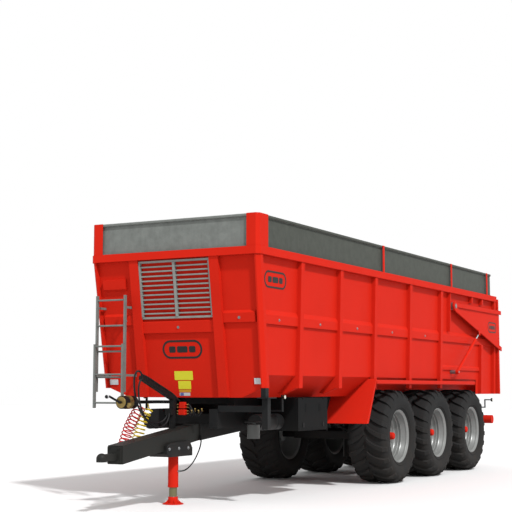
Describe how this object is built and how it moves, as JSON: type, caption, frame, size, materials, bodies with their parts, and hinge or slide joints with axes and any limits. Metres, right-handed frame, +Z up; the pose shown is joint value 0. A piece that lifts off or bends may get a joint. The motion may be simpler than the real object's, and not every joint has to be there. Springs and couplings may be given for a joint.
{
  "type": "grain cart",
  "caption": "Three-axle tipping grain cart with a sheet-steel body on a chassis, extension boards, a lift-up tailgate, a telescopic ram and a jack-stand drawbar.",
  "frame": {"origin": "on the ground, at the middle of the overall length and width", "axes": "+X towards the tow coupling, +Y to the cart's left, +Z up"},
  "size_m": [11.251, 2.646, 3.612],
  "materials": {
    "red_paint": "gloss",
    "galvanised": "satin",
    "chassis_black": "satin",
    "drawbar_grey": "satin",
    "box_plastic": "matte",
    "tank_grey": "satin",
    "lamp_body": "gloss",
    "pin_steel": "satin",
    "leg_zinc": "satin",
    "crank_black": "gloss",
    "chrome_rod": "polished",
    "hose_black": "matte",
    "hose_red": "gloss",
    "hose_yellow": "gloss",
    "tyre_rubber": "matte",
    "rim_silver": "gloss"
  },
  "bodies": {
    "chassis": {"chassis_rails": "chassis_black", "cross_members": "chassis_black", "hinge_pins": "pin_steel", "drawbar": "drawbar_grey", "tow_coupling": "drawbar_grey", "jack_mount": "chassis_black", "jack_tube": "red_paint", "axle_beams": "chassis_black", "leaf_springs": "chassis_black", "toolbox": "box_plastic", "air_tanks": "tank_grey", "body_rests": "chassis_black", "marker_lamps": "lamp_body", "underrun_bumper": "red_paint", "hose_stand": "chassis_black", "brake_winch": "chassis_black", "air_line_red": "hose_red", "air_line_yellow": "hose_yellow", "hydraulic_hose": "hose_black", "jack_hose": "hose_black"},
    "jack_leg": {"jack_leg": "leg_zinc"},
    "brake_crank": {"brake_crank": "crank_black"},
    "toolbox_lid": {"toolbox_lid": "box_plastic"},
    "ram_barrel": {"ram_barrel": "chassis_black"},
    "ram_stage_1": {"ram_stage_1": "chrome_rod"},
    "ram_stage_2": {"ram_stage_2": "chrome_rod"},
    "ram_stage_3": {"ram_stage_3": "chrome_rod"},
    "ram_stage_4": {"ram_stage_4": "chrome_rod"},
    "tipper": {"body_floor": "red_paint", "front_wall": "red_paint", "side_wall_left": "red_paint", "side_wall_right": "red_paint", "top_rail": "red_paint", "body_subframe": "chassis_black", "front_grille": "galvanised", "extension_boards": "galvanised", "extension_posts": "red_paint", "ladder_upper": "galvanised", "mudguards": "red_paint", "tailgate_pivots": "pin_steel"},
    "ladder_lower": {"ladder_lower": "galvanised"},
    "tailgate": {"tailgate_panel": "red_paint", "tailgate_arms": "red_paint"},
    "grain_hatch": {"grain_hatch": "galvanised"},
    "gate_cylinder_left": {"gate_cylinder_left": "red_paint"},
    "gate_cylinder_right": {"gate_cylinder_right": "red_paint"},
    "gate_rod_left": {"gate_rod_left": "chrome_rod"},
    "gate_rod_right": {"gate_rod_right": "chrome_rod"},
    "wheel_front_left": {"rim_front_left": "rim_silver", "tyre_front_left": "tyre_rubber"},
    "wheel_front_right": {"rim_front_right": "rim_silver", "tyre_front_right": "tyre_rubber"},
    "wheel_middle_left": {"rim_middle_left": "rim_silver", "tyre_middle_left": "tyre_rubber"},
    "wheel_middle_right": {"rim_middle_right": "rim_silver", "tyre_middle_right": "tyre_rubber"},
    "wheel_rear_left": {"rim_rear_left": "rim_silver", "tyre_rear_left": "tyre_rubber"},
    "wheel_rear_right": {"rim_rear_right": "rim_silver", "tyre_rear_right": "tyre_rubber"}
  },
  "joints": [
    {"name": "body_tip", "type": "hinge", "parent": "chassis", "child": "tipper", "pos_m": [-5.1155, 0, 1.1], "axis": [0, -1, 0], "range_deg": [0, 45]},
    {"name": "ram_tilt", "type": "hinge", "parent": "chassis", "child": "ram_barrel", "pos_m": [-1.3655, 0, 0.95], "axis": [0, -1, 0], "range_deg": [0, 22.4]},
    {"name": "ram_slide_1", "type": "slide", "parent": "ram_barrel", "child": "ram_stage_1", "axis": [0, 0, 1], "range_m": [0, 0.7122]},
    {"name": "ram_slide_2", "type": "slide", "parent": "ram_stage_1", "child": "ram_stage_2", "axis": [0, 0, 1], "range_m": [0, 0.7122]},
    {"name": "ram_slide_3", "type": "slide", "parent": "ram_stage_2", "child": "ram_stage_3", "axis": [0, 0, 1], "range_m": [0, 0.7122]},
    {"name": "ram_slide_4", "type": "slide", "parent": "ram_stage_3", "child": "ram_stage_4", "axis": [0, 0, 1], "range_m": [0, 0.7122]},
    {"name": "tailgate_lift", "type": "hinge", "parent": "tipper", "child": "tailgate", "pos_m": [-3.0125, 0, 2.874], "axis": [0, 1, 0], "range_deg": [0, 80]},
    {"name": "gate_cylinder_tilt_left", "type": "hinge", "parent": "tipper", "child": "gate_cylinder_left", "pos_m": [-3.0905, 1.294, 1.731], "axis": [0, 1, 0], "range_deg": [0, 45.52]},
    {"name": "gate_rod_slide_left", "type": "slide", "parent": "gate_cylinder_left", "child": "gate_rod_left", "axis": [-0.86, 0, 0.5103], "range_m": [0, 1.0009]},
    {"name": "gate_cylinder_tilt_right", "type": "hinge", "parent": "tipper", "child": "gate_cylinder_right", "pos_m": [-3.0905, -1.294, 1.731], "axis": [0, 1, 0], "range_deg": [0, 45.52]},
    {"name": "gate_rod_slide_right", "type": "slide", "parent": "gate_cylinder_right", "child": "gate_rod_right", "axis": [-0.86, 0, 0.5103], "range_m": [0, 1.0009]},
    {"name": "grain_hatch_slide", "type": "slide", "parent": "tailgate", "child": "grain_hatch", "axis": [0, 0, 1], "range_m": [0, 0.35]},
    {"name": "ladder_slide", "type": "slide", "parent": "tipper", "child": "ladder_lower", "axis": [0, 0, 1], "range_m": [0, 0.6]},
    {"name": "jack_slide", "type": "slide", "parent": "chassis", "child": "jack_leg", "axis": [0, 0, 1], "range_m": [0, 0.11]},
    {"name": "brake_crank_turn", "type": "hinge", "parent": "chassis", "child": "brake_crank", "pos_m": [4.7545, -0.3, 1.275], "axis": [1, 0, 0], "continuous": true},
    {"name": "toolbox_lid_hinge", "type": "hinge", "parent": "chassis", "child": "toolbox_lid", "pos_m": [2.2345, 1.085, 1.317], "axis": [1, 0, 0], "range_deg": [0, 80]},
    {"name": "wheel_spin_front_left", "type": "hinge", "parent": "chassis", "child": "wheel_front_left", "pos_m": [-0.5335, 0.945, 0.715], "axis": [0, 1, 0], "continuous": true},
    {"name": "wheel_spin_front_right", "type": "hinge", "parent": "chassis", "child": "wheel_front_right", "pos_m": [-0.5335, -0.945, 0.715], "axis": [0, 1, 0], "continuous": true},
    {"name": "wheel_spin_middle_left", "type": "hinge", "parent": "chassis", "child": "wheel_middle_left", "pos_m": [-2.2655, 0.945, 0.715], "axis": [0, 1, 0], "continuous": true},
    {"name": "wheel_spin_middle_right", "type": "hinge", "parent": "chassis", "child": "wheel_middle_right", "pos_m": [-2.2655, -0.945, 0.715], "axis": [0, 1, 0], "continuous": true},
    {"name": "wheel_spin_rear_left", "type": "hinge", "parent": "chassis", "child": "wheel_rear_left", "pos_m": [-3.9975, 0.945, 0.715], "axis": [0, 1, 0], "continuous": true},
    {"name": "wheel_spin_rear_right", "type": "hinge", "parent": "chassis", "child": "wheel_rear_right", "pos_m": [-3.9975, -0.945, 0.715], "axis": [0, 1, 0], "continuous": true}
  ],
  "couplings": [
    {"joint": "ram_tilt", "follows": "body_tip", "ratio": 0.49767},
    {"joint": "ram_slide_1", "follows": "body_tip", "m_per_rad": 0.90669},
    {"joint": "ram_slide_2", "follows": "body_tip", "m_per_rad": 0.90669},
    {"joint": "ram_slide_3", "follows": "body_tip", "m_per_rad": 0.90669},
    {"joint": "ram_slide_4", "follows": "body_tip", "m_per_rad": 0.90669},
    {"joint": "gate_cylinder_tilt_left", "follows": "tailgate_lift", "ratio": 0.5689},
    {"joint": "gate_rod_slide_left", "follows": "tailgate_lift", "m_per_rad": 0.71682},
    {"joint": "gate_cylinder_tilt_right", "follows": "tailgate_lift", "ratio": 0.5689},
    {"joint": "gate_rod_slide_right", "follows": "tailgate_lift", "m_per_rad": 0.71682}
  ]
}
